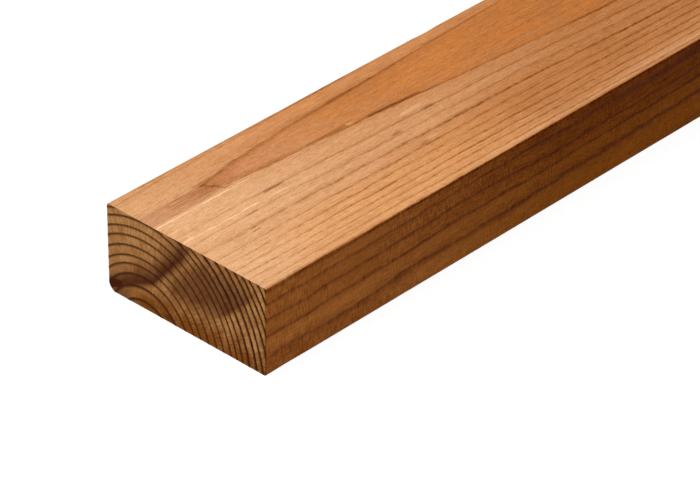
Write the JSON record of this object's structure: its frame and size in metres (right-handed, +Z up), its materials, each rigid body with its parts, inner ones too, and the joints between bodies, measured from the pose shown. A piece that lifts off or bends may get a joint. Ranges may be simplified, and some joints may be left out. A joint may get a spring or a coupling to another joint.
{
  "type": "timber batten",
  "caption": "Straight planed softwood batten of rectangular section, with one rounded long edge and square-sawn ends.",
  "frame": {"origin": "middle of the bottom broad face, on the surface that the batten lies on", "axes": "+X along the grain, from the sawn end that the picture shows to the other; +Y across the broad face, from the long edge nearest in the picture to the far one; +Z up, out of the top broad face"},
  "size_m": [1.2, 0.09, 0.042],
  "materials": {
    "planed_softwood": "planed faces and sawn ends, unfinished, orange-brown heartwood with dark latewood lines"
  },
  "bodies": {
    "root": {"batten": "planed_softwood"}
  },
  "joints": []
}
